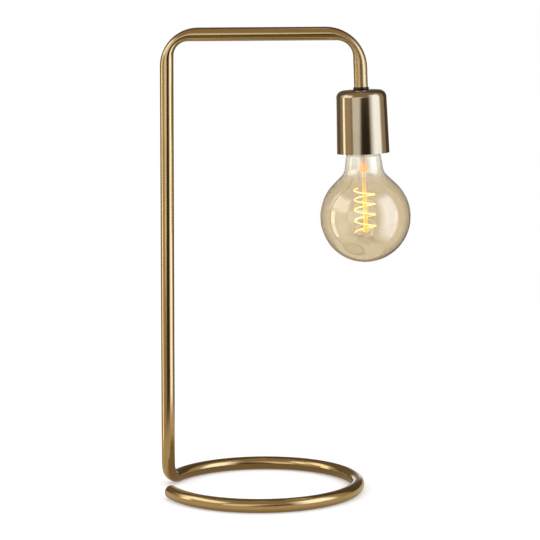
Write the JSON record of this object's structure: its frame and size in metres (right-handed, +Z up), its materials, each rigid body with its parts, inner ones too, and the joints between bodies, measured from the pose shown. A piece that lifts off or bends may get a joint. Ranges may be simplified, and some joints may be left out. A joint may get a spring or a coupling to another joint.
{
  "type": "table lamp",
  "caption": "Table lamp bent from a single round metal tube that forms an open ring base, upright and arm, with a metal cup hiding the lampholder of a bare round spiral-filament bulb.",
  "frame": {"origin": "centre of the ring base, at the height of the table it rests on", "axes": "+Z up; +X from the upright towards the bulb; the viewer of the picture stands on the -Y side"},
  "size_m": [0.2229, 0.182, 0.41],
  "materials": {
    "antique_brass": "antique brass plating, brushed along the tube, satin",
    "antique_brass_cup": "antique bronze-brass plating, finely brushed up and down, satin",
    "black_paint": "black, semi-gloss",
    "zinc_steel": "zinc plated",
    "plain_brass": "bare pressed sheet",
    "black_resin": "moulded resin",
    "wire_jacket_live": "extruded jacket",
    "wire_jacket_neutral": "extruded jacket",
    "cap_metal": "pressed and rolled sheet",
    "black_glass": "fused black glass",
    "solder": "dull solder",
    "cement": "set cement",
    "tinted_glass": "blown glass with an amber tint",
    "clear_glass": "clear drawn glass",
    "grey_wire": "drawn wire",
    "copper_wire": "copper-coated wire",
    "glowing_wire": "glowing wire"
  },
  "bodies": {
    "lamp": {"stem_tube": "antique_brass", "tube_end_bushing": "antique_brass", "collar_ring": "black_paint", "socket_cup": "antique_brass_cup", "tube_insert": "zinc_steel", "threaded_nipple": "zinc_steel", "cup_washer": "zinc_steel", "cup_lock_washer": "zinc_steel", "cup_nut": "zinc_steel", "holder_cap": "black_resin", "holder_body": "black_resin", "holder_set_screw": "zinc_steel", "holder_screws": "zinc_steel", "terminal_plate_live": "plain_brass", "terminal_plate_neutral": "plain_brass", "terminal_screws": "zinc_steel", "shell_rivets": "plain_brass", "contact_rivet": "plain_brass", "centre_contact": "plain_brass", "screw_shell": "plain_brass", "lead_live": "wire_jacket_live", "lead_neutral": "wire_jacket_neutral"},
    "bulb_carrier": {"bulb_contact": "solder"},
    "bulb": {"bulb_cap": "cap_metal", "bulb_insulator": "black_glass", "bulb_cement": "cement", "bulb_glass": "tinted_glass", "bulb_stem": "clear_glass", "bulb_rod": "clear_glass", "bulb_support_wires": "grey_wire", "bulb_lead_wires": "copper_wire", "bulb_filament": "glowing_wire"}
  },
  "joints": [
    {"name": "bulb_travel", "type": "slide", "parent": "lamp", "child": "bulb_carrier", "axis": [0.0305, -0.002, -0.9995], "range_m": [0, 0.013]},
    {"name": "bulb_turn", "type": "hinge", "parent": "bulb_carrier", "child": "bulb", "pos_m": [0.09092, 0.00768, 0.30515], "axis": [0.0305, -0.002, -0.9995], "range_deg": [0, 1260]}
  ],
  "couplings": [
    {"joint": "bulb_travel", "follows": "bulb_turn", "m_per_rad": 0.00057757}
  ]
}
